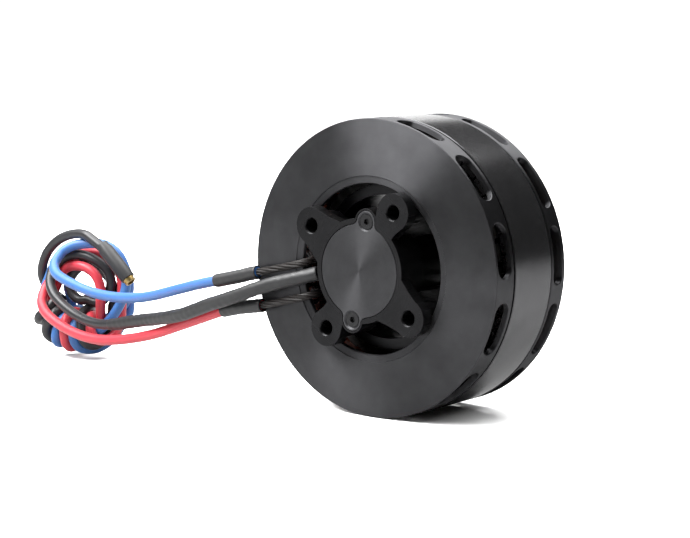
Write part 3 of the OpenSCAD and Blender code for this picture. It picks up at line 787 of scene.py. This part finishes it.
LEADS = {
    "blue": (blue_line, BLUE_SLEEVE, BLUE_TAIL, BLUE_PLUG),
    "red": (red_line, RED_SLEEVE, RED_TAIL, RED_PLUG),
    "black": (black_line, BLACK_SLEEVE, BLACK_TAIL, BLACK_PLUG),
}
for seed, (colour, (line, sleeve_route, tail_route, ends)) in enumerate(LEADS.items()):
    lead = lead_curve(f"{colour}_lead_cord", line, f"{colour}_silicone", f"{colour}_lead",
                      "lead_bundle")
    sleeve_line = line[:round(length_of(sleeve_route) / LINE_STEP) + 1]
    sleeve = sleeve_mesh(f"{colour}_lead_sleeve", sleeve_line, "shrink_sleeve", seed,
                         f"{colour}_sleeve", thin_end=0.28 if colour == "black" else 0)
    tail_mesh(f"{colour}_tail_wires", tail_route, seed, f"{colour}_winding_tail")
    plug = connector_meshes(f"{colour}_bullet", ends, f"{colour}_connector")


# ---- Stage -----------------------------------------------------------------------

def shown_and_reflected(tree, seen, reflected, target):
    """One shader for what the camera sees of the studio, and a darker one for what the motor reflects."""
    path = tree.nodes.new("ShaderNodeLightPath")
    mix = tree.nodes.new("ShaderNodeMixShader")
    tree.links.new(path.outputs["Is Camera Ray"], mix.inputs["Fac"])
    tree.links.new(reflected, mix.inputs[1])
    tree.links.new(seen, mix.inputs[2])
    tree.links.new(mix.outputs["Shader"], target)


def make_studio():
    scene = bpy.context.scene
    scene.view_settings.view_transform = "Standard"
    world = bpy.data.worlds.new("studio")
    scene.world = world
    world.use_nodes = True
    tree = world.node_tree
    dim = tree.nodes["Background"]
    dim.inputs["Color"].default_value = (1, 1, 1, 1)
    dim.inputs["Strength"].default_value = 0.022
    white = tree.nodes.new("ShaderNodeBackground")
    white.inputs["Color"].default_value = (1, 1, 1, 1)
    white.inputs["Strength"].default_value = 1.05
    shown_and_reflected(tree, white.outputs["Background"], dim.outputs["Background"],
                        tree.nodes["World Output"].inputs["Surface"])


def make_floor():
    mesh = bpy.data.meshes.new("floor")
    half, z = 3.0, (FLOOR_Z - 0.05) * MM
    mesh.from_pydata([(-half, -half, z), (half, -half, z), (half, half, z), (-half, half, z)], [],
                     [(0, 1, 2, 3)])
    floor = bpy.data.objects.new("floor", mesh)
    bpy.context.scene.collection.objects.link(floor)
    material = bpy.data.materials.new("white_floor")
    material.use_nodes = True
    tree = material.node_tree
    tree.nodes.remove(tree.nodes["Principled BSDF"])
    white = tree.nodes.new("ShaderNodeBsdfDiffuse")
    white.inputs["Color"].default_value = (0.9, 0.9, 0.9, 1)
    dim = tree.nodes.new("ShaderNodeBsdfDiffuse")
    dim.inputs["Color"].default_value = (0.2, 0.2, 0.2, 1)
    shown_and_reflected(tree, white.outputs["BSDF"], dim.outputs["BSDF"],
                        tree.nodes["Material Output"].inputs["Surface"])
    mesh.materials.append(material)
    return floor


def add_light(data, name, at, aim):
    light = bpy.data.objects.new(name, data)
    light.location = at
    light.rotation_euler = (Vector(aim) - Vector(at)).to_track_quat("-Z", "Y").to_euler()
    bpy.context.scene.collection.objects.link(light)
    return light


def area_light(name, at, aim, size, power):
    data = bpy.data.lights.new(name, "AREA")
    data.shape, data.energy = "RECTANGLE", power
    data.size, data.size_y = size
    return add_light(data, name, at, aim)


def light_floor(floor):
    """A wide sun that lights the floor alone, so that it stays white up to the contact shadows."""
    data = bpy.data.lights.new("floor_sun", "SUN")
    data.energy, data.angle = 4.6, math.radians(150)
    sun = add_light(data, "floor_sun", (-0.5, 0.1, 1.5), (0, 0.03, 0))
    lit = bpy.data.collections.new("lit_by_floor_sun")
    lit.objects.link(floor)
    sun.light_linking.receiver_collection = lit


make_studio()
light_floor(make_floor())
area_light("overhead", (-0.10, 0.12, 0.75), (-0.02, 0.02, 0), (1.2, 0.9), 24)
area_light("front_high", (-0.44, -0.56, 0.74), (-0.02, 0, 0), (1.0, 0.4), 22)
area_light("behind_low", (-0.80, 1.02, 0.27), (0, 0.03, 0.04), (0.9, 0.40), 1.9)
area_light("front_fill", (-0.55, -0.75, 0.05), (-0.03, 0, 0), (0.5, 0.4), 0.5)


# ---- CAD nodes that stay ----------------------------------------------------------

SLOT_OF = {row["node"]: row["material_slot"] for row in frame["record"]["subparts"]}
BEVELS_MM = {
    "mounting_base": 0.3, "bearing_cover": 0.2, "cover_screws": 0.08, "bell_screws": 0.08,
    "shaft": 0.15,
}


def refine(cad, bevel_mm):
    """Rounds a CAD node's edges with modifiers, and leaves its own mesh as it is."""
    weld = cad.modifiers.new("weld", "WELD")
    weld.merge_threshold = 0.001 * MM
    flat = cad.modifiers.new("flat", "DECIMATE")
    flat.decimate_type, flat.angle_limit = "DISSOLVE", math.radians(0.4)
    bevel = cad.modifiers.new("edges", "BEVEL")
    bevel.width, bevel.segments = bevel_mm * MM, 2
    bevel.limit_method, bevel.angle_limit = "ANGLE", math.radians(32)
    bevel.use_clamp_overlap, bevel.harden_normals = True, False
    cad.modifiers.new("normals", "WEIGHTED_NORMAL")


for node_name, cad in NODES.items():
    cad.data.materials.clear()
    cad.data.materials.append(MATERIALS[SLOT_OF[node_name]])
    if node_name in BEVELS_MM:
        refine(cad, BEVELS_MM[node_name])
